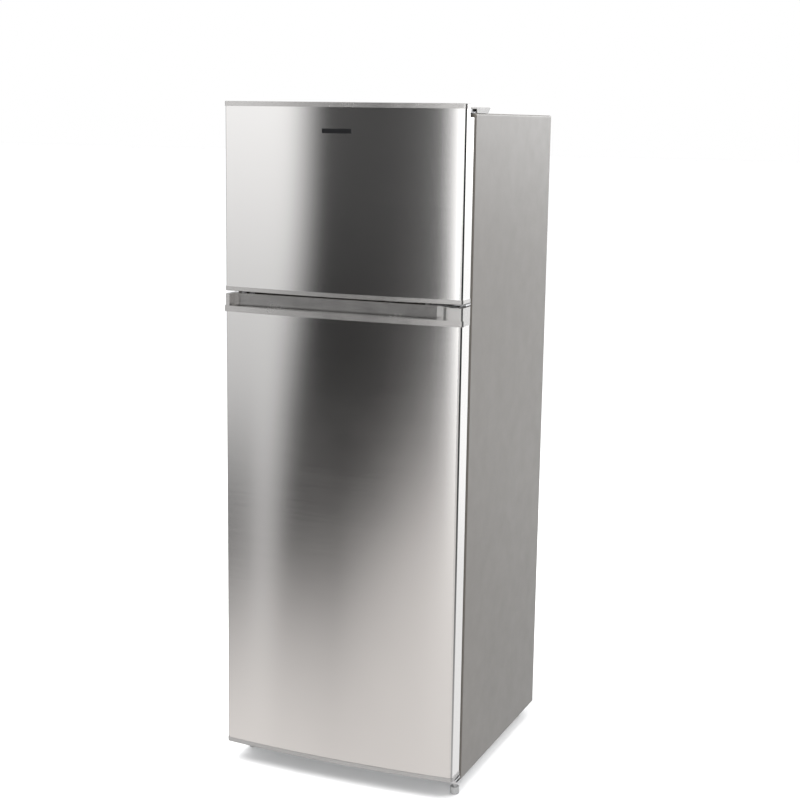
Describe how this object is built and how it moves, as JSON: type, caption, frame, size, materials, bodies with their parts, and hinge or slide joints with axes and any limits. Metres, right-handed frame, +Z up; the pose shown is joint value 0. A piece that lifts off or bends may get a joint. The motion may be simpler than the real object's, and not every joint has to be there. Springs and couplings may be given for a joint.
{
  "type": "top freezer refrigerator",
  "caption": "Free-standing refrigerator with a freezer on top: bowed brushed-steel doors hinged on the right, recessed grip between them, grey cabinet.",
  "frame": {"origin": "on the floor under the middle of the whole outline, doors closed", "axes": "+X to the right of a person facing the doors, +Y to the back, +Z up"},
  "size_m": [0.533, 0.56, 1.43],
  "materials": {
    "stainless_face": "fine brushed, clear coated",
    "cabinet_paint": "satin silver-grey paint with a fine texture",
    "galvanised_sheet": "plain coated sheet",
    "zinc_plate": "bright zinc plate",
    "cap_plastic": "silver-grey satin",
    "hinge_cover_plastic": "silver-grey matt",
    "cap_dark": "dark grey satin",
    "liner_white": "gloss white",
    "insulation": "rigid foam",
    "gasket_rubber": "soft matt",
    "clear_plastic": "clear polystyrene",
    "shelf_glass": "clear toughened",
    "trim_white": "satin white",
    "black_enamel": "baked black enamel",
    "rubber_black": "matt",
    "dark_plastic": "matt black",
    "copper": "drawn copper",
    "aluminium_plate": "mill finish",
    "wire_white": "white powder coat",
    "foot_plastic": "light grey",
    "bush_plastic": "grey nylon",
    "bulb_glass": "clear",
    "badge_metal": "dark satin"
  },
  "bodies": {
    "cabinet": {"cabinet_shell": "cabinet_paint", "back_panel": "galvanised_sheet", "base_panel": "galvanised_sheet", "cabinet_foam": "insulation", "fridge_liner": "liner_white", "freezer_liner": "liner_white", "centre_beam_trim": "cabinet_paint", "hole_plugs": "trim_white", "freezer_evaporator": "aluminium_plate", "fridge_evaporator": "aluminium_plate", "condenser_tubes": "copper", "compressor": "black_enamel", "compressor_grommets": "rubber_black", "compressor_base": "zinc_plate", "roller_axles": "zinc_plate", "cord_gland": "rubber_black", "relay_cover": "dark_plastic", "drip_tray": "dark_plastic", "drain_tube": "trim_white", "filter_drier": "copper", "refrigerant_pipes": "copper", "thermostat_housing": "trim_white", "lamp_lens": "clear_plastic", "lamp_bulb": "bulb_glass", "glass_shelves": "shelf_glass", "shelf_trims": "trim_white", "crisper_cover": "shelf_glass", "freezer_shelf": "wire_white", "top_hinge_bracket": "zinc_plate", "top_hinge_cover": "hinge_cover_plastic", "middle_hinge_bracket": "zinc_plate", "lower_hinge_bracket": "zinc_plate", "left_foot_bracket": "zinc_plate", "hinge_screws": "zinc_plate"},
    "freezer_door": {"freezer_door_skin": "stainless_face", "freezer_door_top_cap": "cap_plastic", "freezer_door_bottom_cap": "cap_plastic", "freezer_door_foam": "insulation", "freezer_door_liner": "liner_white", "freezer_door_gasket": "gasket_rubber", "freezer_door_racks": "clear_plastic", "freezer_hinge_bushes": "bush_plastic", "badge": "badge_metal"},
    "fridge_door": {"fridge_door_skin": "stainless_face", "fridge_door_grip_cap": "cap_plastic", "fridge_door_bottom_cap": "cap_dark", "fridge_door_foam": "insulation", "fridge_door_liner": "liner_white", "fridge_door_gasket": "gasket_rubber", "door_balconies": "clear_plastic", "bottle_balcony": "clear_plastic", "fridge_hinge_bushes": "bush_plastic"},
    "thermostat_knob": {"thermostat_knob": "trim_white"},
    "light_switch_plunger": {"light_switch_plunger": "trim_white"},
    "crisper_drawer": {"crisper_drawer": "clear_plastic"},
    "front_foot_left": {"front_foot_left": "foot_plastic"},
    "front_foot_right": {"front_foot_right": "foot_plastic"},
    "rear_roller_left": {"rear_roller_left": "dark_plastic"},
    "rear_roller_right": {"rear_roller_right": "dark_plastic"}
  },
  "joints": [
    {"name": "freezer_door_hinge", "type": "hinge", "parent": "cabinet", "child": "freezer_door", "pos_m": [0.25, -0.231, 1.236], "axis": [0, 0, 1], "range_deg": [0, 105]},
    {"name": "fridge_door_hinge", "type": "hinge", "parent": "cabinet", "child": "fridge_door", "pos_m": [0.25, -0.231, 0.54], "axis": [0, 0, 1], "range_deg": [0, 105]},
    {"name": "thermostat_turn", "type": "hinge", "parent": "cabinet", "child": "thermostat_knob", "pos_m": [0.135, -0.15, 0.972], "axis": [0, -1, 0], "range_deg": [0, 270]},
    {"name": "light_switch_press", "type": "slide", "parent": "cabinet", "child": "light_switch_plunger", "axis": [0, -1, 0], "range_m": [0, 0.008]},
    {"name": "crisper_slide", "type": "slide", "parent": "cabinet", "child": "crisper_drawer", "axis": [0, -1, 0], "range_m": [0, 0.028]},
    {"name": "front_foot_left_thread", "type": "slide", "parent": "cabinet", "child": "front_foot_left", "axis": [0, 0, -1], "range_m": [0, 0.01]},
    {"name": "front_foot_right_thread", "type": "slide", "parent": "cabinet", "child": "front_foot_right", "axis": [0, 0, -1], "range_m": [0, 0.01]},
    {"name": "rear_roller_left_spin", "type": "hinge", "parent": "cabinet", "child": "rear_roller_left", "pos_m": [-0.235, 0.245, 0.015], "axis": [1, 0, 0], "continuous": true},
    {"name": "rear_roller_right_spin", "type": "hinge", "parent": "cabinet", "child": "rear_roller_right", "pos_m": [0.235, 0.245, 0.015], "axis": [1, 0, 0], "continuous": true}
  ],
  "couplings": [
    {"joint": "light_switch_press", "follows": "fridge_door_hinge", "m_per_rad": 0.00436}
  ]
}
